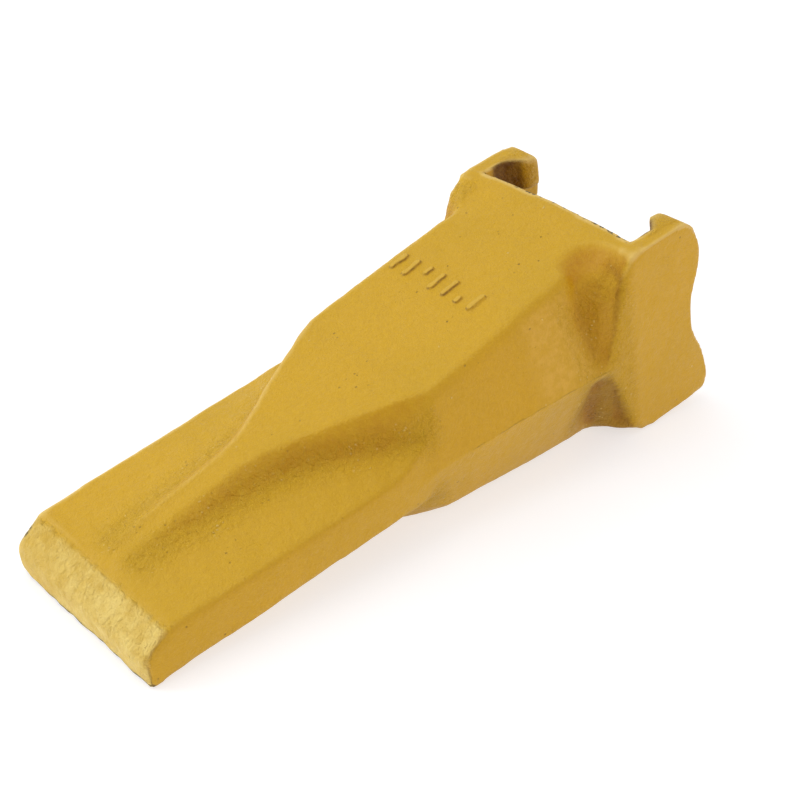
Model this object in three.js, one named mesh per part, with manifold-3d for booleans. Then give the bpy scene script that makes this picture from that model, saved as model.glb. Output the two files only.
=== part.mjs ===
// Excavator bucket tooth: one steel casting that slides and twists onto an adapter nose, with two rear
// ears whose inward hooks hold an upright lock pin (steel body, bonded elastomer strip, sprung keeper).
//
// Everything is modelled in the tooth's own frame, in millimetres:
//   x runs along the socket axis towards the digging edge, y runs across, z is the thickness, and z = 0 is
//   the casting's parting plane. The outer group then tips the tooth forward by REST_PITCH, so that it lies
//   as it does on level ground: on the rear edge of its underside and on the lower corner of the digging edge.
import * as THREE from 'three';
import { mergeVertices } from 'three/addons/utils/BufferGeometryUtils.js';
import Module from 'manifold-3d';

// ---------------------------------------------------------------- driving dimensions
const TIP_X = 133.2;          // foremost point of the digging edge
const BLADE_HALF_W = 43.0;    // half width of the blade at the digging edge
const RIM_X = -103.5;         // socket mouth at the sides
const RIM_BULGE = 2.5;        // the mouth bows this far rearward at mid width
const SEAT_X = 0.0;           // flat end of the socket, where the adapter nose bottoms
const EAR_IN_Y = 40.5;        // inner face of each ear
const EAR_OUT_Y = 48.6;       // outer face of each ear
const HOOK_TIP_Y = 33.2;      // how far each hook reaches inward
const HOOK_Z0 = 28.0;         // hooks fill z from here ...
const HOOK_Z1 = 42.4;         // ... to the ear's edge
const TWIST_DEG = 52;         // the socket's two lobes turn this far between mouth and seat
const LOBE = 0.045;           // lobe height as a share of the socket radius
const MARK_H = 0.9;           // height of the raised casting marks
const REST_PITCH = 7.984;     // degrees, nose down: the lower digging edge and the lower rim both touch level ground
const GAP = 0.3;              // running gap between separate pieces

const PIN_HALF_L = 36.0;      // half length of the lock pin on its outboard side
const PIN_BEVEL = 9.0;        // both ends lean back by this much towards the inboard side
const PIN_X0 = -120.3;        // rear face of the pin body, behind which the hooks stand
const PIN_X1 = -111.6;        // front face of the pin body
const PIN_Y0 = 27.6;          // inboard face of the pin
const PIN_Y1 = EAR_IN_Y - GAP;// outboard face of the pin
const RUBBER_X1 = -110.1;     // front face of the elastomer when it is fully pressed
const KEEPER_X0 = -108.4;     // rear face of the keeper at rest
const KEEPER_X1 = -105.3;     // front face of the keeper

const wasm = await Module();
wasm.setup();

// ---------------------------------------------------------------- helpers
function solidFrom(geometry) {
  const g = geometry.clone();
  g.deleteAttribute('normal');
  g.deleteAttribute('uv');
  const m = mergeVertices(g, 1e-4);
  const vertProperties = new Float32Array(m.attributes.position.array);
  const triVerts = new Uint32Array(m.index.array);
  return new wasm.Manifold(new wasm.Mesh({ numProp: 3, vertProperties, triVerts }));
}

function geometryFrom(solid) {
  const mesh = solid.getMesh();
  const g = new THREE.BufferGeometry();
  const n = mesh.numProp;
  const pos = new Float32Array((mesh.vertProperties.length / n) * 3);
  for (let i = 0; i < pos.length / 3; i++) {
    pos[3 * i] = mesh.vertProperties[n * i];
    pos[3 * i + 1] = mesh.vertProperties[n * i + 1];
    pos[3 * i + 2] = mesh.vertProperties[n * i + 2];
  }
  g.setAttribute('position', new THREE.BufferAttribute(pos, 3));
  g.setIndex(new THREE.BufferAttribute(new Uint32Array(mesh.triVerts), 1));
  g.computeVertexNormals();
  return g;
}

// Closed loft through rings of equal point count, capped at both ends by a fan about each ring's mean.
function loft(rings) {
  const n = rings[0].length;
  const pts = rings.flat();
  const idx = [];
  for (let r = 0; r + 1 < rings.length; r++) {
    for (let i = 0; i < n; i++) {
      const a = r * n + i;
      const b = r * n + ((i + 1) % n);
      idx.push(a, b, b + n, a, b + n, a + n);
    }
  }
  for (const [r, flip] of [[0, true], [rings.length - 1, false]]) {
    const c = [0, 1, 2].map((k) => rings[r].reduce((s, p) => s + p[k], 0) / n);
    pts.push(c);
    const ci = pts.length - 1;
    for (let i = 0; i < n; i++) {
      const a = r * n + i;
      const b = r * n + ((i + 1) % n);
      if (flip) idx.push(ci, b, a); else idx.push(ci, a, b);
    }
  }
  let vol = 0;
  for (let t = 0; t < idx.length; t += 3) {
    const [p, q, s] = [pts[idx[t]], pts[idx[t + 1]], pts[idx[t + 2]]];
    vol += p[0] * (q[1] * s[2] - q[2] * s[1]) - p[1] * (q[0] * s[2] - q[2] * s[0]) + p[2] * (q[0] * s[1] - q[1] * s[0]);
  }
  if (vol < 0) for (let t = 0; t < idx.length; t += 3) [idx[t + 1], idx[t + 2]] = [idx[t + 2], idx[t + 1]];
  const g = new THREE.BufferGeometry();
  g.setAttribute('position', new THREE.Float32BufferAttribute(pts.flat(), 3));
  g.setIndex(idx);
  return g;
}

// Straight prism: outline in two axes, swept from lo to hi along the third.
function prismXZ(outline, y0, y1) {
  return loft([outline.map(([x, z]) => [x, y0, z]), outline.map(([x, z]) => [x, y1, z])]);
}
function prismXY(outline, z0, z1) {
  return loft([outline.map(([x, y]) => [x, y, z0]), outline.map(([x, y]) => [x, y, z1])]);
}
const mirrorY = (o) => o.map(([x, y]) => [x, -y]).reverse();

// ---------------------------------------------------------------- outer form of the casting
// One row per station: x, then the half section from the crown to the parting line as (y, z) pairs:
// crown edge, shoulder, flank foot, blade edge, parting line. The lower half mirrors the upper one.
const STATIONS = [
  [119.5, [4.4, 9.5], [6.0, 9.5], [8.0, 9.5], [43.0, 9.2], [43.3, 0]],
  [112.0, [4.4, 11.2], [6.6, 10.8], [8.6, 10.3], [43.3, 9.2], [43.6, 0]],
  [103.0, [4.6, 13.3], [7.2, 12.3], [9.8, 11.0], [43.6, 9.1], [43.9, 0]],
  [90.0, [4.8, 15.8], [7.8, 14.2], [11.0, 11.8], [43.9, 9.0], [44.2, 0]],
  [76.0, [5.0, 17.9], [8.4, 15.8], [12.0, 12.5], [44.2, 8.9], [44.5, 0]],
  [62.0, [5.6, 19.9], [9.2, 17.2], [13.0, 13.0], [44.6, 8.8], [44.9, 0]],
  [52.0, [7.8, 21.3], [11.4, 18.2], [14.8, 13.4], [44.8, 8.7], [45.0, 0]],
  [42.0, [12.4, 22.9], [15.6, 19.4], [18.6, 13.8], [45.0, 8.6], [45.2, 0]],
  [32.0, [17.6, 24.4], [20.8, 20.4], [23.6, 14.0], [45.1, 8.5], [45.3, 0]],
  [22.0, [22.4, 25.8], [25.8, 21.4], [28.4, 13.9], [45.1, 8.5], [45.3, 0]],
  [14.0, [26.1, 26.8], [29.6, 21.9], [32.8, 13.6], [43.6, 10.2], [44.6, 0]],
  [8.0, [28.8, 27.4], [32.6, 22.0], [36.4, 13.0], [41.8, 11.9], [44.1, 0]],
  [3.0, [31.1, 27.8], [35.2, 23.0], [39.4, 13.8], [40.2, 12.4], [43.8, 0]],
  [-5.0, [34.4, 28.1], [37.0, 25.3], [38.8, 18.4], [41.2, 9.2], [43.7, 0]],
  [-17.0, [34.3, 29.9], [37.0, 27.0], [39.2, 19.6], [41.8, 9.8], [44.5, 0]],
  [-30.0, [34.1, 31.9], [36.9, 28.9], [39.4, 21.0], [42.3, 10.5], [45.4, 0]],
  [-45.0, [33.9, 34.2], [36.7, 31.2], [39.6, 22.6], [43.2, 11.3], [46.7, 0]],
  [-60.0, [33.4, 36.5], [36.2, 33.4], [39.6, 24.1], [43.9, 12.0], [48.0, 0]],
  [-70.0, [33.0, 38.0], [35.8, 34.9], [39.5, 25.2], [44.3, 12.5], [49.0, 0]],
  [-76.0, [32.7, 38.9], [35.6, 35.7], [39.4, 26.0], [44.7, 12.8], [49.9, 0]],
  [-80.0, [32.8, 39.5], [37.0, 36.0], [41.4, 26.6], [47.2, 13.0], [50.4, 0]],
  [-83.0, [33.6, 40.0], [40.8, 36.6], [45.0, 27.0], [48.6, 13.2], [50.3, 0]],
  [-86.0, [35.2, 40.6], [45.0, 37.4], [47.7, 27.4], [48.9, 13.4], [50.0, 0]],
  [-90.0, [38.6, 41.3], [47.5, 38.8], [48.7, 27.8], [48.9, 13.6], [49.5, 0]],
  [-95.0, [42.8, 42.1], [48.3, 40.2], [48.6, 28.2], [48.7, 13.8], [49.0, 0]],
  [-100.0, [46.0, 42.8], [48.6, 41.2], [48.6, 28.4], [48.6, 14.0], [48.6, 0]],
];

// behind its widest corners the crown is one flat sloping face
const CROWN_SLOPE = 0.153;
const crownZ = (x) => 28.1 - (x + 5) * CROWN_SLOPE;
for (const row of STATIONS) if (row[0] <= -5) row[1][1] = crownZ(row[0]);

function ring(x, q, low = q, bow = null) {
  // q: [crown edge, shoulder, foot, blade edge, parting]; low: the same for the lower half, without the parting
  const [c, h, f, e, p] = q;
  const side = [e, f, h, c, [c[0] * 0.5, c[1]]];
  const [lc, lh, lf, le] = low;
  const under = [le, lf, lh, lc, [lc[0] * 0.5, lc[1]]];
  const loop = [
    [p[0], 0 + p[1]], ...side, [0, c[1]], ...side.slice().reverse().map(([y, z]) => [-y, z]), [-p[0], p[1]],
    ...under.map(([y, z]) => [-y, -z]), [0, -lc[1]], ...under.slice().reverse().map(([y, z]) => [y, -z]),
  ];
  return loop.map(([y, z]) => [bow ? bow(y) : x, y, z]);
}

const bow = (y) => RIM_X - RIM_BULGE * (1 - Math.min(1, (y / 42) ** 2));
const nose = [
  [TIP_X, [4.2, -1.0], [5.8, -1.0], [7.4, -1.0], [41.2, -1.2], [41.6, -3.5]],
  [132.6, [4.2, 1.4], [5.8, 1.4], [7.5, 1.4], [41.8, 1.2], [42.2, -2.5]],
  [131.0, [4.3, 3.4], [5.9, 3.4], [7.6, 3.4], [42.3, 3.1], [42.7, -1.5]],
  [126.0, [4.4, 6.3], [6.0, 6.3], [7.8, 6.3], [42.7, 6.0], [43.1, -0.8]],
];
const rings = nose.map(([x, ...q]) => ring(x, q, [[4.2, 10.1], [5.8, 10.1], [8.0, 10.1], [Math.min(q[4][0] + 0.4, 43.0), 10.1]]));
// the lower face lies a little deeper than the upper one towards the digging edge
const lower = (x, q) => q.slice(0, 4).map(([y, z]) => [y, z + Math.max(0, x - 32) * 0.0094]);
for (const [x, ...q] of STATIONS) rings.push(ring(x, q, lower(x, q)));
const mouth = [[46.6, 43.2], [48.6, 41.6], [48.6, 28.8], [48.6, 14.2], [48.6, 0]];
rings.push(ring(RIM_X, mouth, mouth, bow));
let casting = solidFrom(loft(rings));

// ears: lobed plates behind the mouth, with an inward hook at the top and bottom of each
const EAR_TOP = [
  [-97.0, 42.7], [-122.0, 42.6], [-127.2, 41.8], [-130.4, 38.8], [-132.3, 33.8], [-133.6, 28.6],
  [-133.8, 24.0], [-132.6, 18.2], [-130.8, 13.2], [-129.0, 8.0], [-128.2, 3.0],
];
const EAR_BOTTOM = [
  [-97.0, -42.7], [-122.0, -42.6], [-133.6, -42.4], [-135.8, -40.6], [-136.6, -37.0], [-136.2, -31.5], [-135.0, -25.5],
  [-133.4, -20.0], [-130.8, -15.0], [-128.8, -9.0], [-128.2, -3.5],
];
const earOutline = EAR_TOP.concat(EAR_BOTTOM.slice().reverse());
const hookOutline = [
  [-112.6, EAR_IN_Y + 1], [-115.2, EAR_IN_Y - 0.2], [-118.0, 38.3], [-120.0, 36.0], [-121.2, HOOK_TIP_Y + 1.0],
  [-122.4, HOOK_TIP_Y], [-127.0, HOOK_TIP_Y], [-129.0, 34.6], [-131.0, 38.0], [-131.5, EAR_IN_Y + 1],
];
const earShape = solidFrom(prismXZ(earOutline, 20, 60));
for (const s of [1, -1]) {
  const y0 = s > 0 ? EAR_IN_Y : -EAR_OUT_Y;
  const y1 = s > 0 ? EAR_OUT_Y : -EAR_IN_Y;
  casting = casting.add(solidFrom(prismXZ(earOutline, y0, y1)));
  const o = s > 0 ? hookOutline : mirrorY(hookOutline);
  const shape = s > 0 ? earShape : solidFrom(prismXZ(earOutline, -60, -20));
  for (const [z0, z1] of [[HOOK_Z0, HOOK_Z1 + 0.4], [-HOOK_Z1 - 0.4, -HOOK_Z0]]) {
    casting = casting.add(solidFrom(prismXY(o, z0, z1)).intersect(shape));
  }
}

// socket: two soft lobes that turn about the axis as they go in, then a rectangular nose pocket with a flat seat
const SOCKET = [
  // x, half width, half height, squareness 0..1, share of the twist
  [-112.0, 38.2, 36.9, 0.0, 0.0],
  [-103.0, 37.2, 35.8, 0.0, 0.0],
  [-90.0, 34.8, 33.2, 0.0, 0.18],
  [-75.0, 32.4, 30.2, 0.0, 0.42],
  [-60.0, 30.0, 27.2, 0.0, 0.64],
  [-45.0, 27.6, 24.0, 0.1, 0.82],
  [-32.0, 25.6, 20.6, 0.3, 1.0],
  [-22.0, 24.0, 17.4, 0.75, 1.0],
  [-14.0, 23.0, 15.2, 1.0, 1.0],
  [SEAT_X, 21.6, 13.6, 1.0, 1.0],
];
const SOCKET_SIDES = 32;
const socketRings = SOCKET.map(([x, a, b, sq, tw]) => {
  const pts = [];
  for (let i = 0; i < SOCKET_SIDES; i++) {
    const t = (i / SOCKET_SIDES) * Math.PI * 2;
    const power = 2 + 6 * sq;                     // superellipse, from round to nearly rectangular
    const c = Math.cos(t);
    const s = Math.sin(t);
    const r = 1 / Math.pow(Math.pow(Math.abs(c), power) + Math.pow(Math.abs(s), power), 1 / power);
    const lobe = 1 + LOBE * (1 - sq) * Math.cos(2 * (t - THREE.MathUtils.degToRad(TWIST_DEG * tw)));
    pts.push([x, a * r * c * lobe, b * r * s * lobe]);
  }
  return pts;
});
casting = casting.subtract(solidFrom(loft(socketRings)));

// raised casting marks on the crown: a row of plain tally bars, two of them short
const markCount = 7;
for (let i = 0; i < markCount; i++) {
  const y = -29.6 + i * 7.4;
  const x0 = i === 5 ? -45.6 : -51.2;
  const x1 = i === 2 ? -46.8 : -42.4;
  const w = 0.9;
  const bar = [];
  for (const x of [x0, x1]) {
    const z = crownZ(x);
    bar.push([[x, y - w, z - 2], [x, y + w, z - 2], [x, y + w * 0.7, z + MARK_H], [x, y - w * 0.7, z + MARK_H]]);
  }
  casting = casting.add(solidFrom(loft(bar)));
}

// ---------------------------------------------------------------- lock pin
// Pin body: a driven bar whose rear corner follows the hooks, with bevelled ends for driving it in and out.
const pinBodyOutline = [
  [PIN_X1, PIN_Y0 + 1.4], [PIN_X1, PIN_Y1 - 1.2], [PIN_X1 - 1.2, PIN_Y1],
  [-114.6, PIN_Y1], [-117.5, 37.8], [-119.4, 35.6], [PIN_X0, 33.4], [PIN_X0, PIN_Y0 + 1.6], [PIN_X0 + 1.6, PIN_Y0], [PIN_X1 - 1.4, PIN_Y0],
];
const pinCx = (PIN_X0 + PIN_X1) / 2;
const pinCy = PIN_Y1;
function pinRing(z, k) {
  return pinBodyOutline.map(([x, y]) => {
    const yy = pinCy + (y - pinCy) * (1 - (1 - k) * 0.5);
    return [pinCx + (x - pinCx) * k, yy, z - Math.sign(z) * PIN_BEVEL * ((PIN_Y1 - yy) / (PIN_Y1 - PIN_Y0))];
  });
}
const pinBody = solidFrom(loft([
  pinRing(-PIN_HALF_L, 0.66), pinRing(-PIN_HALF_L + 4, 1.0), pinRing(PIN_HALF_L - 4, 1.0), pinRing(PIN_HALF_L, 0.66),
]));

function strip(x0, x1, half, y0, y1, taper) {
  // flat strip whose ends lean back by taper
  const o = [[y0, -half], [y1, -half], [y1, half], [y0, half]];
  return loft([
    o.map(([y, z]) => [x0, y, z]),
    o.map(([y, z]) => [x1, y, z - Math.sign(z) * taper]),
  ]);
}
const rubber = solidFrom(strip(PIN_X1 + GAP, RUBBER_X1, 22.5, PIN_Y0 + 1.6, PIN_Y1 - 1.4, 0.6));
let keeper = solidFrom(strip(KEEPER_X0, KEEPER_X1, 23.5, PIN_Y0 + 1.1, PIN_Y1 - 0.9, 2.2));
// latch notch at mid height, where the adapter's boss snaps in
const notch = loft([
  [[KEEPER_X1 - 1.2, 20, -3.2], [KEEPER_X1 - 1.2, 50, -3.2], [KEEPER_X1 - 1.2, 50, 3.2], [KEEPER_X1 - 1.2, 20, 3.2]],
  [[KEEPER_X1 + 1, 20, -5.4], [KEEPER_X1 + 1, 50, -5.4], [KEEPER_X1 + 1, 50, 5.4], [KEEPER_X1 + 1, 20, 5.4]],
]);
keeper = keeper.subtract(solidFrom(notch));

// ---------------------------------------------------------------- scene graph
const paint = new THREE.MeshStandardMaterial({ color: 0xc9a033, roughness: 0.5, metalness: 0.1 });
const steel = new THREE.MeshStandardMaterial({ color: 0x6f7072, roughness: 0.4, metalness: 0.9 });
const keeperSteel = new THREE.MeshStandardMaterial({ color: 0x8a8a86, roughness: 0.35, metalness: 0.9 });
const elastomer = new THREE.MeshStandardMaterial({ color: 0x1b1b1c, roughness: 0.85, metalness: 0.0 });

function node(name, geometry, material) {
  const m = new THREE.Mesh(geometry, material);
  m.name = name;
  return m;
}

const tooth = new THREE.Group();
tooth.add(node('tooth_casting', geometryFrom(casting), paint));
const pin = new THREE.Group();
pin.add(node('lock_pin_body', geometryFrom(pinBody), steel));
pin.add(node('lock_pin_elastomer', geometryFrom(rubber), elastomer));
pin.add(node('lock_pin_keeper', geometryFrom(keeper), keeperSteel));
tooth.add(pin);

// tooth x -> row -Y (down by the pitch), tooth y -> row +X, tooth z -> row +Z (leaning by the pitch)
const c = Math.cos(THREE.MathUtils.degToRad(REST_PITCH));
const s = Math.sin(THREE.MathUtils.degToRad(REST_PITCH));
const turn = new THREE.Matrix4().makeBasis(
  new THREE.Vector3(0, -c, -s),
  new THREE.Vector3(1, 0, 0),
  new THREE.Vector3(0, -s, c),
);
tooth.quaternion.setFromRotationMatrix(turn);

const object = new THREE.Group();
object.add(tooth);
object.updateMatrixWorld(true);
const box = new THREE.Box3().setFromObject(object, true);
tooth.position.set(-(box.min.x + box.max.x) / 2, -(box.min.y + box.max.y) / 2, -box.min.z);
object.updateMatrixWorld(true);

export default object;
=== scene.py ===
"""Looks of the excavator bucket tooth: the painted steel casting, its lock pin set, a pale floor, soft studio light.

Everything is laid out in the tooth's own frame T (millimetres: x towards the digging edge, y across, z thickness)
and turned into the row frame (metres) by to_row().
"""
import bmesh
import bpy
import math
import numpy as np
from mathutils import Matrix, Vector


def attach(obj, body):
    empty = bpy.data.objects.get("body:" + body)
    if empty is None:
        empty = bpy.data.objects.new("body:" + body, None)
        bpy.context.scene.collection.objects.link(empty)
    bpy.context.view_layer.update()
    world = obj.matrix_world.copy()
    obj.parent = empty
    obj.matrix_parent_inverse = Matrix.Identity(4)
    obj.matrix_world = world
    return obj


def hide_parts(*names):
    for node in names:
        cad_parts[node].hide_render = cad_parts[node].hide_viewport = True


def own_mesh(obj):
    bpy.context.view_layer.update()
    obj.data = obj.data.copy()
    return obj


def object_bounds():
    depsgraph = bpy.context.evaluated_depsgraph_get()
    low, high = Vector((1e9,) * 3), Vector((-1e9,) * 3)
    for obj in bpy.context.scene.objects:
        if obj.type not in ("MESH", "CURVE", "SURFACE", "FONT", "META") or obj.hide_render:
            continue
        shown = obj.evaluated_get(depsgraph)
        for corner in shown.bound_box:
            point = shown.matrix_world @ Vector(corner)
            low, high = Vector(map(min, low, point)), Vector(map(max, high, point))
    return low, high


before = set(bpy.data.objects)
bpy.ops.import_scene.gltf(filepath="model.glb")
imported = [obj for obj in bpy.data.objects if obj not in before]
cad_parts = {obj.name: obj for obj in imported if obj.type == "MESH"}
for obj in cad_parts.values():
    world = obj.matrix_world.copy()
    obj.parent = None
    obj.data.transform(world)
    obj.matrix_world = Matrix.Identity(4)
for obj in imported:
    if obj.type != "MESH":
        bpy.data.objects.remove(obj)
CAD_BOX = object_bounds()

# ------------------------------------------------------------------ frames
TIP_X = 133.2
PITCH = math.radians(7.984)
C, S = math.cos(PITCH), math.sin(PITCH)
TURN = np.array([[0.0, 1.0, 0.0], [-C, 0.0, -S], [-S, 0.0, C]])  # row = TURN @ T


def mesh_points(obj):
    n = len(obj.data.vertices)
    co = np.zeros(n * 3)
    obj.data.vertices.foreach_get("co", co)
    return co.reshape(n, 3)


_raw = mesh_points(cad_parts["tooth_casting"]) * 1000.0 @ TURN
SHIFT = np.array([_raw[:, 0].max() - TIP_X, 0.5 * (_raw[:, 1].max() + _raw[:, 1].min()), 0.5 * (_raw[:, 2].max() + _raw[:, 2].min())])


def to_t(row_m):
    return np.asarray(row_m) * 1000.0 @ TURN - SHIFT


def to_row(t_mm):
    return (np.asarray(t_mm) + SHIFT) @ TURN.T / 1000.0


# ------------------------------------------------------------------ small numeric tools
def ss(a, b, x):
    t = np.clip((x - a) / (b - a), 0.0, 1.0)
    return t * t * (3 - 2 * t)


def window(x, a, b, f):
    return ss(a - f, a, x) * (1 - ss(b, b + f, x))


class Waves:
    """Smooth, repeatable noise: a fixed sum of plane waves around one wavelength."""

    def __init__(self, seed, wavelength, count=28):
        rng = np.random.RandomState(seed)
        d = rng.normal(size=(count, 3))
        d /= np.linalg.norm(d, axis=1)[:, None]
        self.k = d * (2 * math.pi / (wavelength * rng.uniform(0.75, 1.35, size=count)))[:, None]
        self.p = rng.uniform(0, 2 * math.pi, size=count)
        self.n = count

    def __call__(self, p):
        out = np.zeros(len(p))
        for k, ph in zip(self.k, self.p):
            out += np.sin(p @ k + ph)
        return out / math.sqrt(self.n / 2.0)


# ------------------------------------------------------------------ lines of the casting, from the same table as the CAD
# x, crown edge (y, z), flank foot (y, z)
LINES = np.array([
    [133.2, 4.2, -1.0, 7.4, -1.0],
    [126.0, 4.4, 6.3, 7.8, 6.3],
    [119.5, 4.4, 9.5, 8.0, 9.5],
    [112.0, 4.4, 11.2, 8.6, 10.3],
    [103.0, 4.6, 13.3, 9.8, 11.0],
    [90.0, 4.8, 15.8, 11.0, 11.8],
    [76.0, 5.0, 17.9, 12.0, 12.5],
    [62.0, 5.6, 19.9, 13.0, 13.0],
    [52.0, 7.8, 21.3, 14.8, 13.4],
    [42.0, 12.4, 22.9, 18.6, 13.8],
    [32.0, 17.6, 24.4, 23.6, 14.0],
    [22.0, 22.4, 25.8, 28.4, 13.9],
    [14.0, 26.1, 26.8, 32.8, 13.6],
    [8.0, 28.8, 27.4, 36.4, 13.0],
    [3.0, 31.1, 27.8, 39.4, 13.8],
    [-5.0, 34.4, 28.1, 38.8, 18.4],
])[::-1]


def line_at(x, col):
    return np.interp(x, LINES[:, 0], LINES[:, col])


SOCKET = np.array([
    [-112.0, 38.2, 36.9], [-103.0, 37.2, 35.8], [-90.0, 34.8, 33.2], [-75.0, 32.4, 30.2], [-60.0, 30.0, 27.2],
    [-45.0, 27.6, 24.0], [-32.0, 25.6, 20.6], [-22.0, 24.0, 17.4], [-14.0, 23.0, 15.2], [0.0, 21.6, 13.6],
])


def crown_z(x):
    return 28.1 - (x + 5.0) * 0.153


# ------------------------------------------------------------------ remeshing and smoothing
def remeshed(name, verts, faces, voxel):
    """A new object whose mesh (millimetres, frame T) is the closed surface resampled on an even grid."""
    me = bpy.data.meshes.new(name + ".src")
    me.from_pydata([tuple(v) for v in verts], [], [tuple(f) for f in faces])
    me.update()
    src = bpy.data.objects.new(name + ".src", me)
    bpy.context.scene.collection.objects.link(src)
    mod = src.modifiers.new("remesh", "REMESH")
    mod.mode = "SHARP"
    span = float(np.ptp(np.asarray(verts), axis=0).max())
    mod.octree_depth = max(4, math.ceil(math.log2(span / voxel / 0.99)))
    mod.scale = span / (voxel * 2 ** mod.octree_depth)
    mod.sharpness = 1.0
    mod.use_remove_disconnected = False
    dg = bpy.context.evaluated_depsgraph_get()
    out = bpy.data.meshes.new_from_object(src.evaluated_get(dg))
    bpy.data.objects.remove(src)
    bpy.data.meshes.remove(me)
    return out


def arrays(me):
    n = len(me.vertices)
    co = np.zeros(n * 3)
    me.vertices.foreach_get("co", co)
    e = np.zeros(len(me.edges) * 2, dtype=np.int64)
    me.edges.foreach_get("vertices", e)
    return co.reshape(n, 3), e.reshape(-1, 2)


def diffuse(val, edges, weight, steps):
    """Umbrella smoothing, steps times, each vertex moving by its own weight."""
    n = len(val)
    i = np.concatenate([edges[:, 0], edges[:, 1]])
    j = np.concatenate([edges[:, 1], edges[:, 0]])
    deg = np.bincount(i, minlength=n).astype(float)
    v = val.copy()
    cols = v.reshape(n, -1)
    w = weight[:, None]
    for _ in range(steps):
        m = np.stack([np.bincount(i, weights=cols[j, k], minlength=n) for k in range(cols.shape[1])], axis=1) / deg[:, None]
        cols += w * (m - cols)
    return cols.reshape(val.shape)


def smooth_by(co, edges, sigma, h, steps=100):
    """Rounds the surface by a length sigma (mm) that differs from vertex to vertex."""
    w = 2.0 * sigma ** 2 / (h * h * steps)
    return diffuse(co, edges, np.clip(w, 0.0, 0.62), steps)


def normals_of(me, co):
    me.vertices.foreach_set("co", co.ravel())
    me.update()
    no = np.zeros(len(co) * 3)
    me.vertices.foreach_get("normal", no)
    return no.reshape(-1, 3)


def put_attribute(me, name, values):
    a = me.attributes.get(name) or me.attributes.new(name, "FLOAT", "POINT")
    a.data.foreach_set("value", np.ascontiguousarray(values, dtype=np.float32))


# ------------------------------------------------------------------ the casting
def cad_polys(node):
    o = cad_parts[node]
    return to_t(mesh_points(o)), [tuple(p.vertices) for p in o.data.polygons]


MARKS = [(-29.6 + i * 7.4, (-45.6 if i == 5 else -51.2), (-46.8 if i == 2 else -42.4)) for i in range(7)]
MARK_H = 0.9


def casting_sigma(p):
    x, y, z = p[:, 0], np.abs(p[:, 1]), np.abs(p[:, 2])
    s = np.full(len(p), 0.95)
    # flank foot: the wide fillet at the bottom of each scoop
    foot = np.hypot(y - line_at(x, 3), z - line_at(x, 4))
    s += 2.5 * np.exp(-(foot / 6.0) ** 2) * window(x, 14.0, 108.0, 14.0)
    # spine edges
    crest = np.hypot(y - line_at(x, 1), z - line_at(x, 2))
    s = np.where(x > -5, np.maximum(s * (1 - 0.6 * np.exp(-(crest / 3.0) ** 2)), 1.2 * np.exp(-(crest / 4.0) ** 2)), s)
    # crown edges of the hexagonal body, and the valleys in front of the ears
    body = window(x, -92.0, -22.0, 10.0) * ss(20.0, 28.0, y) * ss(12.0, 22.0, z)
    s = s * (1 - body) + 1.8 * body
    valley = window(x, -92.0, -72.0, 6.0) * ss(30.0, 36.0, y)
    s = s * (1 - valley) + 1.1 * valley
    flare = window(x, -101.0, -84.0, 4.0) * ss(41.0, 44.0, y) * ss(33.0, 38.0, z)
    s = np.where(p[:, 1] > 0, np.maximum(s, 2.3 * flare), np.maximum(s, 1.8 * flare))
    # blade edges, digging corners, ear corners and hooks
    long_edge = window(x, 8.0, 126.0, 6.0) * ss(39.5, 42.5, y)
    s = np.maximum(s, 1.55 * long_edge)
    near = p[:, 1] > 0
    corner = ss(117.0, 124.0, x) * ss(33.0, 40.0, y) * np.where(near, 1 - ss(5.5, 8.5, -p[:, 2]), 1.0)
    s = np.maximum(s, np.where(near, 1.9, 2.1) * corner)
    s = np.where((x > 128) & (p[:, 2] < -7.5) & (near | (y < 36)), 0.75, s)
    hook = ss(111.0, 116.0, -x) * (1 - ss(40.5, 42.5, y)) * ss(24.0, 29.0, z)
    s = np.maximum(s, 1.7 * hook)
    ear = ss(119.0, 126.0, -x) * ss(34.0, 39.0, z)
    s = np.maximum(s, 1.15 * ear)
    return s


# the pocket between the body's side facet and each ear, by |z|: valley x, valley y, front edge of the ear x
POCKET = np.array([
    [0.0, -75.8, 49.9, -76.6], [2.6, -76.2, 48.8, -79.6], [6.5, -76.7, 47.1, -82.4], [13.6, -76.5, 44.0, -85.8],
    [23.0, -76.2, 40.2, -88.6], [32.4, -79.2, 36.4, -91.8], [37.0, -81.6, 34.4, -93.3], [43.0, -85.4, 32.3, -95.4],
])
RISE = np.array([[-1.0, 0.0], [0.0, 0.0], [0.2, 0.10], [0.36, 0.20], [0.5, 0.06], [0.70, -0.14], [0.955, -0.27], [1.0, -0.06], [1.06, 0.0], [3.0, 0.0]])


RISE_UNDER = np.array([[-1.0, 0.0], [0.0, -0.02], [0.3, -0.16], [0.6, -0.38], [0.85, -0.48], [0.965, -0.50], [1.0, -0.08], [1.06, 0.0], [3.0, 0.0]])


def pocket_shift(p):
    """How far the skin moves outward (mm along |y|) to form the steep wall, the pad and the small step by the ear."""
    x, y, z = p[:, 0], np.abs(p[:, 1]), np.abs(p[:, 2])
    xv, yv, xe = (np.interp(z, POCKET[:, 0], POCKET[:, k]) for k in (1, 2, 3))
    u = (xv - x) / np.maximum(xv - xe, 1.0)
    profile = np.where(p[:, 2] > 0, np.interp(u, RISE[:, 0], RISE[:, 1]), np.interp(u, RISE_UNDER[:, 0], RISE_UNDER[:, 1]))
    rise = profile * np.clip(48.7 - yv, 0.0, 9.5) * (1 - ss(33.0, 39.0, z))
    carve = 3.1 * np.exp(-((x - xv + 1.0) / 5.0) ** 2) * ss(1.5, 9.0, z) * (1 - ss(36.0, 41.0, z))
    where = ss(28.0, 32.0, y) * window(x, -97.0, -66.0, 2.0)
    return (rise - carve) * where, np.exp(-((u - 0.965) / 0.065) ** 2) * ss(1.0, 6.0, z) * (1 - ss(36.0, 42.0, z)) * (x < -70) * (y > 38)


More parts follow.
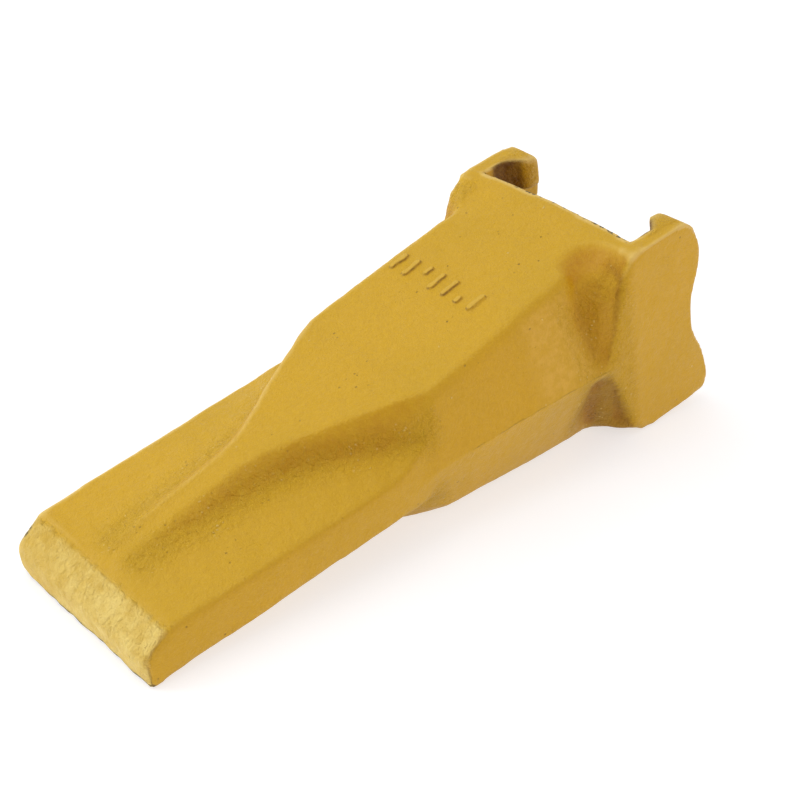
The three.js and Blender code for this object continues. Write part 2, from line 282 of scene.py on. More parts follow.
def bowl(p):
    """The pocket's upper end, an arch that bites into the crown: depth in mm."""
    x, y, z = p[:, 0], np.abs(p[:, 1]), np.abs(p[:, 2])
    r = ((np.abs(x + 86.6) / 11.4) ** 2.6 + (np.abs(y - 42.0) / 17.6) ** 2.6) ** (1 / 2.6)
    return np.where(p[:, 1] * p[:, 2] > 0, 8.4, 1.2) * np.clip(1.0 - r, 0.0, 1.0) ** 0.85 * ss(25.0, 37.0, z) * (x > -98) * (x < -60)


def build_casting():
    voxel = 1.18
    verts, faces = cad_polys("tooth_casting")
    me = remeshed("tooth_casting_skin", verts, faces, voxel)
    co, edges = arrays(me)
    sig = casting_sigma(co)
    x, y, z = co.T
    a = np.interp(x, SOCKET[:, 0], SOCKET[:, 1])
    b = np.interp(x, SOCKET[:, 0], SOCKET[:, 2])
    inside = (x < 1.5) & (((y / (a + 2.2)) ** 2 + (z / (b + 2.2)) ** 2) < 1.12) & (np.abs(y) < 40.3)
    sig = np.where(inside, 1.6, sig)
    # the marks are drawn anew below, so the plain bars are taken down first
    flat = (z > 26) & (x > -55) & (x < -38) & (np.abs(y + 7.4) < 27) & ~inside
    co[flat, 2] = np.minimum(co[flat, 2], crown_z(co[flat, 0]))
    depth = bowl(co) * ~inside
    co[:, 1] += np.sign(co[:, 1]) * (pocket_shift(co)[0] * ~inside - 0.12 * depth)
    co[:, 2] -= np.sign(co[:, 2]) * depth
    co = smooth_by(co, edges, sig, voxel)
    me.vertices.foreach_set("co", co.ravel())
    me.update()
    # a finer mesh where the marks stand
    bm = bmesh.new()
    bm.from_mesh(me)
    for k in range(2):
        margin = 2.5 - k
        es = [e for e in bm.edges if all(
            v.co.z > 28 and -51.2 - margin < v.co.x < -42.4 + margin and -29.6 - margin < v.co.y < 14.8 + margin for v in e.verts)]
        bmesh.ops.subdivide_edges(bm, edges=es, cuts=1, use_grid_fill=True)
    bm.to_mesh(me)
    bm.free()
    me.update()
    co, edges = arrays(me)
    no = normals_of(me, co)
    x, y, z = co.T
    ay, az = np.abs(y), np.abs(z)
    inside = (x < 1.5) & (((y / (np.interp(x, SOCKET[:, 0], SOCKET[:, 1]) + 1.6)) ** 2 + (z / (np.interp(x, SOCKET[:, 0], SOCKET[:, 2]) + 1.6)) ** 2) < 1.1) & (ay < 40.3)
    inside &= (no[:, 1] * y + no[:, 2] * z) < 0.5 * np.hypot(y, z)

    # curvature, for worn edges with a painted highlight and for painted shade in the hollows
    ones = np.ones(len(co))
    lap = diffuse(co, edges, 0.5 * ones, 6) - co
    curv = -np.einsum("ij,ij->i", lap, no)
    curv = diffuse(curv, edges, 0.5 * ones, 2)
    # the painted highlight is stronger on upward-facing edges and weaker on the +y side
    up = (0.30 + 0.70 * ss(0.05, 0.5, no[:, 2])) * np.where((y > 0) & (x > -92), 0.28, 1.0)
    curv_up = np.where(curv > 0, curv * up, curv)

    # large-scale concavity, for painted shade in the valleys and hollows
    wide = diffuse(co, edges, 0.5 * ones, 90) - co
    deep_hollow_shade = np.clip(np.einsum("ij,ij->i", wide, no) / 1.6, 0.0, 1.0)
    deep_hollow_shade = diffuse(deep_hollow_shade, edges, 0.5 * ones, 10)

    tip = ss(120.6, 122.8, x + 0.30 * Waves(13, 3.4)(co)) * ss(0.02, 0.40, no[:, 0] - 0.35 * np.abs(no[:, 1]) * (ay > 38))
    lump = 0.045 * Waves(3, 34.0)(co) + 0.035 * Waves(4, 13.0)(co) + 0.024 * Waves(5, 5.2)(co)
    flank = window(x, 0.0, 112.0, 8.0) * np.exp(-(np.hypot(ay - line_at(x, 3), az - line_at(x, 4)) / 9.0) ** 2)
    lump += flank * (0.05 * Waves(6, 7.5)(co) + 0.05 * Waves(7, 3.6)(co))
    valley = window(x, -92.0, -70.0, 8.0) * ss(32.0, 40.0, ay)
    lump += valley * (0.04 * Waves(8, 7.0)(co) + 0.04 * Waves(9, 3.6)(co))
    lump += tip * (0.10 * Waves(10, 12.0)(co) + 0.07 * Waves(11, 4.5)(co))
    # flash along the parting plane
    part = np.exp(-(z / 0.9) ** 2) * ss(30, 40, ay) * (~inside) * np.maximum(window(x, -72.0, -22.0, 14.0), 0.22 * (1 - ss(118, 128, x)) * (1 - ss(98, 104, -x)))
    lump += part * (0.13 + 0.07 * Waves(12, 9.0)(co))
    co = co + no * lump[:, None]

    # raised tally bars with soft cast edges
    on = (z > 28) & (x > -54) & (x < -39) & (ay < 34) & (no[:, 2] > 0.8)
    h = np.zeros(len(co))
    wob = 0.35 * Waves(20, 6.0)(co)
    for yc, x0, x1 in MARKS:
        dx = np.maximum(np.maximum(x0 + 0.9 - x, x - (x1 - 0.9)), 0)
        d = np.hypot(dx, y - yc - 0.10 * np.sin((x + yc) * 0.45)) + 0.30 * wob
        h = np.maximum(h, 1 - ss(0.75, 1.70, d))
    co[:, 2] += on * h * MARK_H * 0.95

    put_attribute(me, "cv", curv_up)
    xv, xe = (np.interp(az, POCKET[:, 0], POCKET[:, k]) for k in (1, 3))
    u = (xv - x) / np.maximum(xv - xe, 1.0)
    # the undersides of the pockets in front of the ears, for painted shade
    low = (z < 0) * ss(2.0, 10.0, az) * ss(-1.4, 0.5, u) * (1 - ss(0.955, 1.01, u)) * ss(30.0, 36.0, ay)
    deep_hollow_shade = np.clip(deep_hollow_shade * (1 + 1.2 * low), 0, 1.6)
    # mask for painted shade in the funnel-shaped pocket: its arch on the crown and its narrowing valley below
    r = ((np.abs(x + 86.6) / 11.4) ** 2.6 + (np.abs(ay - 42.0) / 17.6) ** 2.6) ** (1 / 2.6)
    arch = ss(0.0, 0.20, 1.0 - r) * (1 - 0.25 * ss(0.35, 0.8, 1.0 - r)) * ss(31.0, 37.0, az) * (y * z > 0)
    vall = np.exp(-((x - xv + 3.0) / np.where(x > xv - 3.0, 4.0, 8.0)) ** 2) * ss(-3.0, 6.0, az) * (1 - ss(34.0, 40.0, az)) * ss(33.0, 38.0, ay)
    funnel = diffuse(np.maximum(arch, 0.85 * vall), edges, 0.5 * ones, 3) * (z > 0)
    # painted shade on the steep inner face of each scoop, from just below the spine's edge to its foot
    steep = ss(0.34, 0.62, np.abs(no[:, 1])) * window(x, -4.0, 104.0, 8.0) * (1 - ss(33.0, 37.0, ay)) * (az < line_at(x, 2) + 0.5)
    steep = diffuse(steep * (~inside), edges, 0.5 * ones, 3)
    put_attribute(me, "scoop_face_shade", steep)
    # lighter grainy patch on the rear of the side facets, for painted light
    put_attribute(me, "sandy_light_fill", window(x, -71.0, -54.0, 9.0) * ss(34.0, 37.0, ay) * ss(-2.0, 3.0, z) * (~inside))
    put_attribute(me, "funnel", funnel * (~inside) * window(x, -97.0, -62.0, 4.0) * (1 - ss(0.96, 1.05, u) * (ay > 46)))
    deep_hollow_shade = deep_hollow_shade * (1 - 0.75 * window(x, -74.0, -30.0, 12.0)) * np.where(x > -4, 0.25, 1.0)
    put_attribute(me, "deep_hollow_shade", deep_hollow_shade * (~inside) * (1 - ss(0.02, 0.5, funnel)))
    put_attribute(me, "inside", inside.astype(float) * ss(-2.0, 8.0, x + 108.0))
    put_attribute(me, "tipface", tip * (0.62 + 0.38 * ss(-30.0, 2.0, y)))
    hooks = ss(108.0, 113.0, -x) * ss(22.0, 27.0, az) * (1 - ss(42.5, 45.0, ay))
    put_attribute(me, "coarse", np.clip(flank + valley + 0.8 * tip + 0.75 * hooks, 0, 1.0))
    rim = np.exp(-((x - (-103.5 - 2.5 * (1 - np.minimum(1, (y / 42) ** 2)))) / 1.6) ** 2) * (ay < 41)
    put_attribute(me, "rim", rim * np.where(az > crown_z(x) - 2.6, 1.0, 0.55))
    put_attribute(me, "lip", np.exp(-(((x - 132.6) / 1.4) ** 2 + ((z + 9.6) / 1.2) ** 2)) + 0.9 * np.exp(-(((x - 126.8) / 5.0) ** 2 + ((y + 41.2) / 1.3) ** 2)) * (z > -2) * (z < 8))
    put_attribute(me, "mark", on * h)
    put_attribute(me, "mark_edge_shade", on * 4 * h * (1 - h))
    crown = np.exp(-((x - 121.5 - 0.5 * Waves(21, 15.0)(co)) / 1.3) ** 2) * (no[:, 2] > 0.5) * (z > 0)
    put_attribute(me, "tipline", crown)
    # pin seats in the hooks, for painted shade
    pin_seat_shade = window(x, -121.0, -110.0, 2.5) * ss(24.0, 29.0, az) * (1 - ss(40.8, 42.0, ay)) * ss(34.4, 36.4, ay) * np.clip(1.6 * np.maximum(-np.sign(y) * no[:, 1], no[:, 0]), 0, 1)
    put_attribute(me, "pin_seat_shade", pin_seat_shade)
    # creases in front of the ears, for painted shade
    put_attribute(me, "ear_crease_shade", pocket_shift(co)[1] * ~inside)
    put_attribute(me, "parting", part)
    # downward-facing surfaces, for painted shade
    down = np.clip(-no[:, 2] * 1.25 - 0.1, 0, 1) * (~inside)
    put_attribute(me, "down", down * (0.72 + 0.28 * window(x, -100.0, -58.0, 14.0)))
    put_attribute(me, "low", low * (~inside))
    me.vertices.foreach_set("co", to_row(co).ravel())
    me.update()
    for p in me.polygons:
        p.use_smooth = True
    obj = bpy.data.objects.new("tooth_casting_skin", me)
    bpy.context.scene.collection.objects.link(obj)
    print("casting:", len(me.vertices), "vertices", sum(len(p.vertices) - 2 for p in me.polygons), "triangles")
    return obj


# ------------------------------------------------------------------ node helpers
class Graph:
    def __init__(self, name):
        self.mat = bpy.data.materials.new(name)
        self.mat.use_nodes = True
        self.t = self.mat.node_tree
        self.t.nodes.clear()
        self.out = self.t.nodes.new("ShaderNodeOutputMaterial")
        self.bsdf = self.t.nodes.new("ShaderNodeBsdfPrincipled")
        self.t.links.new(self.bsdf.outputs[0], self.out.inputs[0])
        self.pos = self.t.nodes.new("ShaderNodeTexCoord").outputs["Object"]

    def link(self, a, b):
        self.t.links.new(a, b)

    def put(self, sock, v):
        if hasattr(v, "is_output") and v.is_output:
            self.t.links.new(v, sock)
        else:
            sock.default_value = v

    def noise(self, scale, detail=4.0, rough=0.55, distort=0.0, vec=None):
        n = self.t.nodes.new("ShaderNodeTexNoise")
        self.link(vec or self.pos, n.inputs["Vector"])
        n.inputs["Scale"].default_value = scale
        n.inputs["Detail"].default_value = detail
        n.inputs["Roughness"].default_value = rough
        n.inputs["Distortion"].default_value = distort
        return n.outputs[0]

    def voronoi(self, scale, feature="F1", vec=None, jitter=1.0):
        n = self.t.nodes.new("ShaderNodeTexVoronoi")
        n.feature = feature
        self.link(vec or self.pos, n.inputs["Vector"])
        n.inputs["Scale"].default_value = scale
        n.inputs["Randomness"].default_value = jitter
        return n.outputs[0]

    def warp(self, scale, amount):
        n = self.t.nodes.new("ShaderNodeTexNoise")
        self.link(self.pos, n.inputs["Vector"])
        n.inputs["Scale"].default_value = scale
        n.inputs["Detail"].default_value = 2.0
        a = self.t.nodes.new("ShaderNodeVectorMath")
        a.operation = "MULTIPLY_ADD"
        self.link(n.outputs["Color"], a.inputs[0])
        a.inputs[1].default_value = (amount, amount, amount)
        self.link(self.pos, a.inputs[2])
        return a.outputs[0]

    def attr(self, name):
        n = self.t.nodes.new("ShaderNodeAttribute")
        n.attribute_name = name
        return n.outputs["Fac"]

    def math(self, op, a, b=0.0, c=None, clamp=False):
        n = self.t.nodes.new("ShaderNodeMath")
        n.operation = op
        n.use_clamp = clamp
        self.put(n.inputs[0], a)
        self.put(n.inputs[1], b)
        if c is not None:
            self.put(n.inputs[2], c)
        return n.outputs[0]

    def ramp(self, v, a, b, lo=0.0, hi=1.0, smooth=True):
        n = self.t.nodes.new("ShaderNodeMapRange")
        n.interpolation_type = "SMOOTHSTEP" if smooth else "LINEAR"
        n.clamp = True
        self.put(n.inputs["Value"], v)
        n.inputs["From Min"].default_value = a
        n.inputs["From Max"].default_value = b
        n.inputs["To Min"].default_value = lo
        n.inputs["To Max"].default_value = hi
        return n.outputs[0]

    def mix(self, f, a, b, mode="MIX"):
        n = self.t.nodes.new("ShaderNodeMix")
        n.data_type = "RGBA"
        n.blend_type = mode
        n.clamp_factor = True
        self.put(n.inputs[0], f)
        self.put(n.inputs[6], a if hasattr(a, "is_output") else (*a, 1.0))
        self.put(n.inputs[7], b if hasattr(b, "is_output") else (*b, 1.0))
        return n.outputs[2]

    def bump(self, height, distance, strength=1.0, normal=None):
        n = self.t.nodes.new("ShaderNodeBump")
        n.inputs["Strength"].default_value = strength
        n.inputs["Distance"].default_value = distance
        self.link(height, n.inputs["Height"])
        if normal is not None:
            self.link(normal, n.inputs["Normal"])
        return n.outputs[0]


def paint_material():
    g = Graph("cast_paint_yellow")
    m = g.math
    coarse, tip, inside = g.attr("coarse"), g.attr("tipface"), g.attr("inside")
    cv, rim, lip, mark = g.attr("cv"), g.attr("rim"), g.attr("lip"), g.attr("mark")
    # colour: warm yellow, drifting slowly, mottled finely
    slow = g.noise(22.0, 3.0, 0.5)
    fine = g.noise(620.0, 5.0, 0.6)
    col = g.mix(g.ramp(slow, 0.35, 0.65), (0.640, 0.378, 0.0060), (0.606, 0.362, 0.0055))
    mott = g.ramp(fine, 0.30, 0.70)
    col = g.mix(m("MULTIPLY", mott, 0.24), col, (0.50, 0.275, 0.008))
    grain = g.noise(1500.0, 3.0, 0.6)
    col = g.mix(g.ramp(grain, 0.52, 0.78, 0.0, 0.30), col, (0.70, 0.45, 0.045))
    # dusty, thinner paint on the digging end
    col = g.mix(m("MULTIPLY", tip, g.ramp(g.noise(150.0, 5.0, 0.6), 0.3, 0.7, 0.42, 1.0)), col, (0.845, 0.635, 0.170))
    # lighter convex edges, partly worn paint and partly a painted highlight; darker small hollows, painted shade
    edge = g.ramp(cv, 0.05, 0.28)
    col = g.mix(m("MULTIPLY", edge, 0.62), col, (0.84, 0.62, 0.19))
    # painted shade in small concave hollows
    small_hollow_shade = g.ramp(cv, -0.03, -0.22)
    col = g.mix(m("MULTIPLY", small_hollow_shade, 0.30), col, (0.46, 0.235, 0.008))
    # painted shade, darker and more orange, in the valleys, the pockets by the ears and the scoops
    col = g.mix(m("MULTIPLY", g.ramp(g.attr("deep_hollow_shade"), 0.18, 0.75), 0.66), col, (0.48, 0.205, 0.001))
    # painted shade in the pocket in front of each ear
    col = g.mix(m("MULTIPLY", g.attr("funnel"), g.ramp(fine, 0.25, 0.75, 0.40, 0.66)), col, (0.485, 0.205, 0.0005))
    # painted shade on the steep inner faces of the scoops
    sf = m("MULTIPLY", g.attr("scoop_face_shade"), g.ramp(g.noise(240.0, 5.0, 0.65), 0.30, 0.70, 0.06, 0.40))
    col = g.mix(sf, col, (0.49, 0.225, 0.0010))
    # lighter grainy mottling by the pockets: partly grit, partly painted light lifting the pocket's shade
    col = g.mix(m("MULTIPLY", g.attr("sandy_light_fill"), g.ramp(g.noise(330.0, 4.0, 0.65), 0.36, 0.64, 0.18, 0.62)), col, (0.74, 0.455, 0.060))
    # painted shade: downward-facing surfaces and the undersides of the pockets turn darker and browner
    col = g.mix(m("MULTIPLY", g.attr("down"), g.ramp(slow, 0.30, 0.62, 0.54, 0.68)), col, (0.27, 0.165, 0.040))
    # painted shade under the pockets
    col = g.mix(m("MULTIPLY", g.attr("low"), 0.52), col, (0.24, 0.105, 0.010))
    # thin seam where the two mould halves met
    along = g.t.nodes.new("ShaderNodeVectorMath")
    along.operation = "DOT_PRODUCT"
    g.link(g.warp(140.0, 0.0011), along.inputs[0])
    n_row = TURN @ np.array([0.0, 0.0, 1.0])
    along.inputs[1].default_value = tuple(float(v) for v in n_row)
    zt = m("ADD", along.outputs["Value"], float(-SHIFT[2] / 1000.0 - 0.00055 * n_row.sum()))
    seam = m("MULTIPLY", g.ramp(m("ABSOLUTE", zt), 0.00052, 0.00012), g.ramp(g.attr("parting"), 0.15, 0.5))
    seam = m("MULTIPLY", seam, g.ramp(g.noise(75.0, 4.0, 0.6), 0.42, 0.66, 0.0, 0.42))
    col = g.mix(seam, col, (0.30, 0.185, 0.012))
    # painted highlight on the tops of the raised marks, partly worn paint, and painted shade along their sides
    col = g.mix(m("MULTIPLY", g.ramp(mark, 0.6, 1.0), 0.40), col, (0.74, 0.50, 0.075))
    # painted shade along the sloped sides of the marks
    me_n = g.ramp(g.noise(500.0, 3.0, 0.6), 0.40, 0.60, 0.35, 1.0)
    col = g.mix(m("MULTIPLY", m("MULTIPLY", g.attr("mark_edge_shade"), 0.85), me_n), col, (0.20, 0.105, 0.012))
    # painted shade in the pin seats and in the creases in front of the ears
    col = g.mix(m("MULTIPLY", g.attr("pin_seat_shade"), g.ramp(g.noise(160.0, 4.0, 0.6), 0.3, 0.7, 0.66, 0.95)), col, (0.13, 0.050, 0.003))
    # painted shade in the creases in front of the ears
    col = g.mix(m("MULTIPLY", g.attr("ear_crease_shade"), 0.46), col, (0.33, 0.15, 0.006))
    # pinholes and specks in the paint
    wob = g.warp(900.0, 0.0007)
    cell = g.voronoi(300.0, vec=wob)
    where = g.ramp(g.noise(60.0, 3.0, 0.5), 0.55, 0.68)
    pit = m("MULTIPLY", g.ramp(cell, 0.17, 0.07), where)
    pit = m("MAXIMUM", pit, m("MULTIPLY", g.ramp(g.voronoi(120.0, vec=wob), 0.050, 0.025), g.ramp(g.noise(38.0, 2.0, 0.5), 0.50, 0.62)))
    col = g.mix(m("MULTIPLY", pit, 0.62), col, (0.17, 0.095, 0.016))
    pit = m("MAXIMUM", pit, m("MULTIPLY", g.ramp(g.attr("tipline"), 0.3, 0.9), g.ramp(g.noise(420.0, 3.0, 0.6), 0.60, 0.68)))
    fleck = m("MULTIPLY", g.ramp(g.voronoi(200.0, vec=wob), 0.13, 0.05), g.ramp(g.noise(50.0, 2.0, 0.5), 0.56, 0.66))
    grit = m("MULTIPLY", g.ramp(g.voronoi(520.0, vec=g.warp(700.0, 0.0012)), 0.30, 0.10), g.ramp(g.noise(110.0, 3.0, 0.6), 0.50, 0.64))
    fleck = m("MAXIMUM", fleck, m("MULTIPLY", grit, g.ramp(coarse, 0.15, 0.60)))
    col = g.mix(m("MULTIPLY", fleck, 0.55), col, (0.80, 0.60, 0.17))
    # chips down to dark casting skin on the mouth rim and the digging lip
    chipn = g.noise(330.0, 4.0, 0.65)
    chip = m("MULTIPLY", g.ramp(rim, 0.35, 0.75), g.ramp(chipn, 0.545, 0.585))
    chip = m("MAXIMUM", chip, m("MULTIPLY", g.ramp(lip, 0.35, 0.8), g.ramp(chipn, 0.50, 0.56)))
    # a continuous darker band along the bottom of the digging lip: partly worn paint, partly painted shade
    col = g.mix(m("MULTIPLY", g.ramp(lip, 0.30, 0.75), 0.42), col, (0.22, 0.17, 0.060))
    col = g.mix(m("MULTIPLY", chip, 0.88), col, (0.060, 0.058, 0.050))
    # the socket is only reached by overspray: paint fades into the dark casting skin
    skin_n = g.noise(90.0, 6.0, 0.62)
    skin = g.mix(g.ramp(skin_n, 0.35, 0.65), (0.060, 0.042, 0.028), (0.125, 0.070, 0.034))
    bare = m("MULTIPLY", inside, g.ramp(m("ADD", g.attr("depth"), m("MULTIPLY", skin_n, 26.0)), 18.0, 48.0))
    col = g.mix(bare, col, skin)
    g.link(col, g.bsdf.inputs["Base Color"])
    # finish
    rough = g.ramp(g.noise(260.0, 4.0, 0.6), 0.3, 0.7, 0.40, 0.56)
    rough = m("ADD", rough, m("MULTIPLY", coarse, 0.08))
    rough = m("ADD", rough, m("MULTIPLY", m("MAXIMUM", chip, bare), 0.25))
    g.link(rough, g.bsdf.inputs["Roughness"])
    metal = m("MULTIPLY", chip, 0.35)
    g.link(metal, g.bsdf.inputs["Metallic"])
    g.bsdf.inputs["Specular IOR Level"].default_value = 0.36
    g.bsdf.inputs["IOR"].default_value = 1.48
    # relief: sand grain under paint, coarser where the pattern was rough, leathery on the digging face
    n1 = g.noise(460.0, 4.0, 0.6)
    n2 = g.noise(1100.0, 3.0, 0.6)
    n3 = g.noise(380.0, 4.0, 0.66)
    cells = g.ramp(g.voronoi(330.0, "DISTANCE_TO_EDGE", vec=g.warp(350.0, 0.0022)), 0.0, 0.22)
    h = m("ADD", m("MULTIPLY", n1, 0.60), m("MULTIPLY", n2, 0.48))
    h = m("ADD", h, m("MULTIPLY", n3, m("MULTIPLY", coarse, 3.2)))
    h = m("ADD", h, m("MULTIPLY", m("MULTIPLY", cells, tip), 0.26))
    h = m("SUBTRACT", h, m("MULTIPLY", pit, 0.45))
    h = m("SUBTRACT", h, m("MULTIPLY", chip, 0.5))
    h = m("ADD", h, m("MULTIPLY", fleck, 0.30))
    h = m("ADD", h, m("MULTIPLY", seam, 0.5))
    n = g.bump(h, 0.00066, 1.0)
    g.link(n, g.bsdf.inputs["Normal"])
    return g.mat


def steel_material(name, dark, light, rough, streak):
    g = Graph(name)
    m = g.math
    n = g.t.nodes.new("ShaderNodeMapping")
    n.inputs["Scale"].default_value = streak
    g.link(g.pos, n.inputs["Vector"])
    brushed = g.noise(900.0, 4.0, 0.6, vec=n.outputs[0])
    cloud = g.noise(70.0, 5.0, 0.6)
    col = g.mix(g.ramp(cloud, 0.35, 0.68), dark, light)
    col = g.mix(g.ramp(brushed, 0.4, 0.75, 0.0, 0.45), col, tuple(min(1.0, c * 1.5) for c in light))
    edge = g.ramp(g.attr("cv"), 0.02, 0.12)
    col = g.mix(m("MULTIPLY", edge, 0.6), col, (0.50, 0.49, 0.47))
    spots = m("MULTIPLY", g.ramp(g.noise(260.0, 4.0, 0.6), 0.60, 0.70), 0.5)
    col = g.mix(spots, col, (0.11, 0.052, 0.022))
    g.link(col, g.bsdf.inputs["Base Color"])
    g.bsdf.inputs["Metallic"].default_value = 0.92
    r = g.ramp(g.noise(300.0, 4.0, 0.6), 0.3, 0.7, rough - 0.08, rough + 0.12)
    g.link(r, g.bsdf.inputs["Roughness"])
    g.link(g.bump(m("ADD", m("MULTIPLY", brushed, 0.6), m("MULTIPLY", cloud, 0.6)), 0.00012, 0.6), g.bsdf.inputs["Normal"])
    return g.mat


def rubber_material():
    g = Graph("elastomer_black")
    m = g.math
    bloom = g.noise(120.0, 5.0, 0.6)
    col = g.mix(g.ramp(bloom, 0.35, 0.7), (0.012, 0.012, 0.013), (0.032, 0.031, 0.030))
    dust = m("MULTIPLY", g.ramp(g.attr("cv"), -0.01, -0.06), 0.5)
    col = g.mix(dust, col, (0.10, 0.09, 0.075))
    g.link(col, g.bsdf.inputs["Base Color"])
    g.link(g.ramp(g.noise(400.0, 3.0, 0.6), 0.3, 0.7, 0.62, 0.82), g.bsdf.inputs["Roughness"])
    g.link(g.bump(g.noise(1400.0, 3.0, 0.6), 0.00006, 0.7), g.bsdf.inputs["Normal"])
    return g.mat


# ------------------------------------------------------------------ lock pin set
def pin_piece(name, verts, faces, voxel, sigma, lump, material):
    me = remeshed(name, verts, faces, voxel)
    co, edges = arrays(me)
    co = smooth_by(co, edges, np.full(len(co), sigma), voxel, 24)
    no = normals_of(me, co)
    ones = np.ones(len(co))
    lap = diffuse(co, edges, 0.5 * ones, 6) - co
    curv = -np.einsum("ij,ij->i", lap, no)
    co = co + no * (lump * (0.6 * Waves(31, 9.0)(co) + 0.4 * Waves(32, 3.0)(co)))[:, None]
    put_attribute(me, "cv", curv)
    me.vertices.foreach_set("co", to_row(co).ravel())
    me.update()
    for p in me.polygons:
        p.use_smooth = True
    me.materials.append(material)
    obj = bpy.data.objects.new(name, me)
    bpy.context.scene.collection.objects.link(obj)
    return obj


def box_mesh(rings):
    """Closed tube through rings of equal length, ends capped."""
    n = len(rings[0])
    v = [p for r in rings for p in r]
    f = []
    for r in range(len(rings) - 1):
        for i in range(n):
            a, b = r * n + i, r * n + (i + 1) % n
            f.append((a, b, b + n, a + n))
    f.append(tuple(range(n))[::-1])
    f.append(tuple(range((len(rings) - 1) * n, len(rings) * n)))
    return v, f


casting = build_casting()
paint = paint_material()
me = casting.data
_co = to_t(mesh_points(casting))
put_attribute(me, "depth", np.maximum(0.0, _co[:, 0] + 104.0))
me.materials.append(paint)
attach(casting, "tooth")
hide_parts("tooth_casting")

forged = steel_material("forged_pin_steel", (0.085, 0.082, 0.080), (0.19, 0.185, 0.18), 0.46, (1.0, 1.0, 0.25))
spring = steel_material("keeper_spring_steel", (0.20, 0.20, 0.195), (0.34, 0.335, 0.325), 0.34, (1.0, 1.0, 0.12))
rubber = rubber_material()

bv, bf = cad_polys("lock_pin_body")
pin_body = pin_piece("lock_pin_body_forged", bv, bf, 0.5, 0.55, 0.05, forged)
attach(pin_body, "lock_pin")
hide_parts("lock_pin_body")

kv, kf = cad_polys("lock_pin_keeper")
keeper = pin_piece("lock_pin_keeper_strip", kv, kf, 0.42, 0.40, 0.02, spring)
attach(keeper, "keeper")
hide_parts("lock_pin_keeper")

# the elastomer fills the whole space between pin body and keeper, with bulged sides
ev, _ = cad_polys("lock_pin_elastomer")
lo, hi = ev.min(0), ev.max(0)
k_lo = kv.min(0)
x0, x1 = lo[0] - 0.28, k_lo[0] - 0.02
steps = np.linspace(0, 1, 9)
rings = []
for t in steps:
    out = 0.45 * math.sin(math.pi * t) - 0.2
    ring = []
    for k in range(48):
        a = 2 * math.pi * k / 48
        cy, cz = math.cos(a), math.sin(a)
        p = 9.0
        r = 1 / (abs(cy) ** p + abs(cz) ** p) ** (1 / p)
        ring.append((x0 + (x1 - x0) * t, 0.5 * (lo[1] + hi[1]) + cy * r * (0.5 * (hi[1] - lo[1]) + out), 0.5 * (lo[2] + hi[2]) + cz * r * (0.5 * (hi[2] - lo[2]) + out)))
    rings.append(ring)
rv, rf = box_mesh(rings)
elastomer = pin_piece("lock_pin_elastomer_strip", rv, rf, 0.40, 0.25, 0.02, rubber)
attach(elastomer, "lock_pin")
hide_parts("lock_pin_elastomer")
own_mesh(elastomer)

# ------------------------------------------------------------------ floor
def floor_material():
    g = Graph("studio_floor")
    n = g.noise(6.0, 3.0, 0.5)
    g.link(g.mix(g.ramp(n, 0.3, 0.7), (0.50, 0.505, 0.51), (0.53, 0.535, 0.54)), g.bsdf.inputs["Base Color"])
    g.bsdf.inputs["Roughness"].default_value = 0.9
    g.bsdf.inputs["Specular IOR Level"].default_value = 0.1
    g.bsdf.inputs["Emission Color"].default_value = (1.0, 1.0, 1.0, 1.0)
    g.bsdf.inputs["Emission Strength"].default_value = 0.62
    return g.mat


fm = bpy.data.meshes.new("floor")
R = 14.0
fm.from_pydata([(-R, -R, 0), (R, -R, 0), (R, R, 0), (-R, R, 0)], [], [(0, 1, 2, 3)])
fm.materials.append(floor_material())
floor = bpy.data.objects.new("studio_floor", fm)
floor.location = (0, 0, CAD_BOX[0][2] - 0.0002)
bpy.context.scene.collection.objects.link(floor)

# ------------------------------------------------------------------ light
world = bpy.data.worlds.new("studio")
bpy.context.scene.world = world
world.use_nodes = True
bg = world.node_tree.nodes["Background"]
wt = world.node_tree
sky = wt.nodes.new("ShaderNodeTexCoord")
dot = wt.nodes.new("ShaderNodeVectorMath")
dot.operation = "DOT_PRODUCT"
dot.inputs[1].default_value = (0.94, -0.20, -0.28)
wt.links.new(sky.outputs["Generated"], dot.inputs[0])
fade = wt.nodes.new("ShaderNodeMapRange")
fade.interpolation_type = "SMOOTHSTEP"
fade.inputs["From Min"].default_value = -0.15
fade.inputs["From Max"].default_value = 0.80
wt.links.new(dot.outputs["Value"], fade.inputs["Value"])
warm = wt.nodes.new("ShaderNodeMix")
warm.data_type = "RGBA"
warm.inputs[6].default_value = (1.0, 1.0, 1.0, 1.0)
warm.inputs[7].default_value = (0.86, 0.66, 0.72, 1.0)
wt.links.new(fade.outputs[0], warm.inputs[0])
wt.links.new(warm.outputs[2], bg.inputs["Color"])
bg.inputs["Strength"].default_value = 0.76
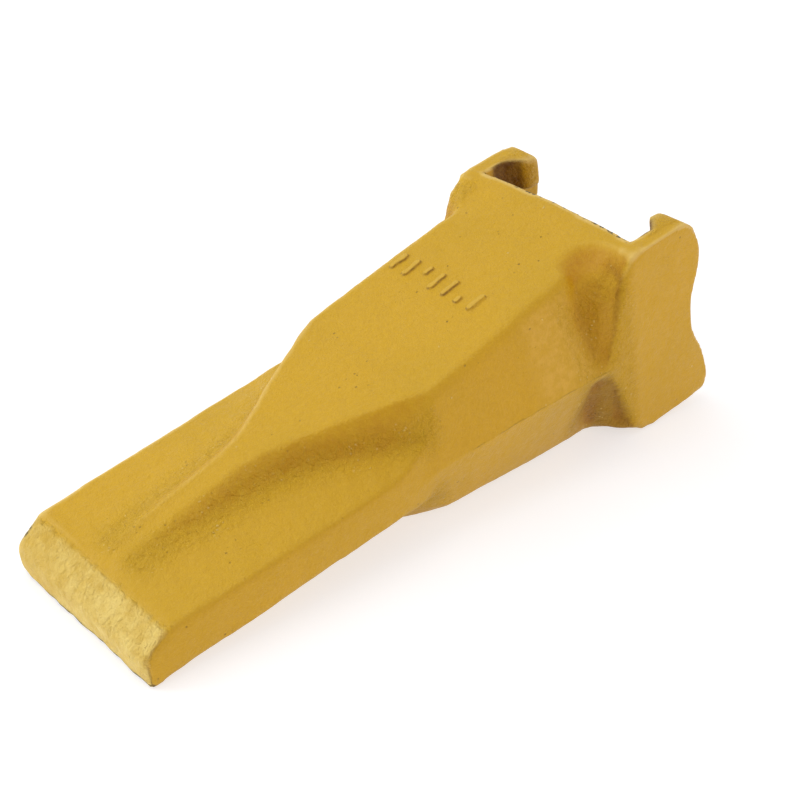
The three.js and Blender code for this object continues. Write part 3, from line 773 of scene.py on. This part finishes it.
# the darker side of the studio, towards the front right
dark_dot = wt.nodes.new("ShaderNodeVectorMath")
dark_dot.operation = "DOT_PRODUCT"
dark_dot.inputs[1].default_value = (0.60, -0.58, 0.55)
wt.links.new(sky.outputs["Generated"], dark_dot.inputs[0])
dim = wt.nodes.new("ShaderNodeMapRange")
dim.interpolation_type = "SMOOTHSTEP"
dim.inputs["From Min"].default_value = 0.35
dim.inputs["From Max"].default_value = 0.98
dim.inputs["To Min"].default_value = 0.80
dim.inputs["To Max"].default_value = 0.42
wt.links.new(dark_dot.outputs["Value"], dim.inputs["Value"])
wt.links.new(dim.outputs[0], bg.inputs["Strength"])


def area(name, direction, distance, size, power, colour=(1, 1, 1)):
    d = Vector(direction).normalized()
    ld = bpy.data.lights.new(name, "AREA")
    ld.shape = "DISK"
    ld.size = size
    ld.energy = power
    ld.color = colour
    o = bpy.data.objects.new(name, ld)
    o.location = Vector((0, 0, 0.04)) + d * distance
    o.rotation_euler = (-d).to_track_quat("-Z", "Y").to_euler()
    bpy.context.scene.collection.objects.link(o)
    return o


area("top_soft", (-0.25, -0.15, 1.0), 1.6, 1.2, 5.6)
area("right_soft", (1.0, 0.30, 0.42), 1.6, 1.1, 3.7, (1.0, 0.74, 0.80))
area("tip_soft", (-0.95, -1.0, 0.55), 1.6, 0.8, 8.5)

# ------------------------------------------------------------------ camera
CAM_T = np.array([280.5, 419.2, 402.4])
RIGHT, DOWN, FORWARD = np.array([[-0.7492, 0.6503, -0.1257], [0.4824, 0.4058, -0.7763], [-0.4538, -0.6422, -0.6177]])
cam_data = bpy.data.cameras.new("camera")
cam_data.sensor_fit = "HORIZONTAL"
cam_data.sensor_width = 36.0
cam_data.lens = 1691.75 / 800.0 * 36.0
cam_data.clip_start = 0.01
cam_data.clip_end = 50.0
cam = bpy.data.objects.new("camera", cam_data)
bpy.context.scene.collection.objects.link(cam)
r, d, f = TURN @ RIGHT, TURN @ DOWN, TURN @ FORWARD
f = f / np.linalg.norm(f)
r = r - f * (r @ f)
r = r / np.linalg.norm(r)
u = np.cross(r, f)
u = u / np.linalg.norm(u)
rot = Matrix(((r[0], u[0], -f[0]), (r[1], u[1], -f[1]), (r[2], u[2], -f[2])))
cam.matrix_world = Matrix.Translation(Vector(to_row(CAM_T))) @ rot.to_4x4()
bpy.context.scene.camera = cam

vs = bpy.context.scene.view_settings
vs.view_transform = "Standard"
vs.look = "None"
vs.exposure = 0.0
vs.gamma = 1.0
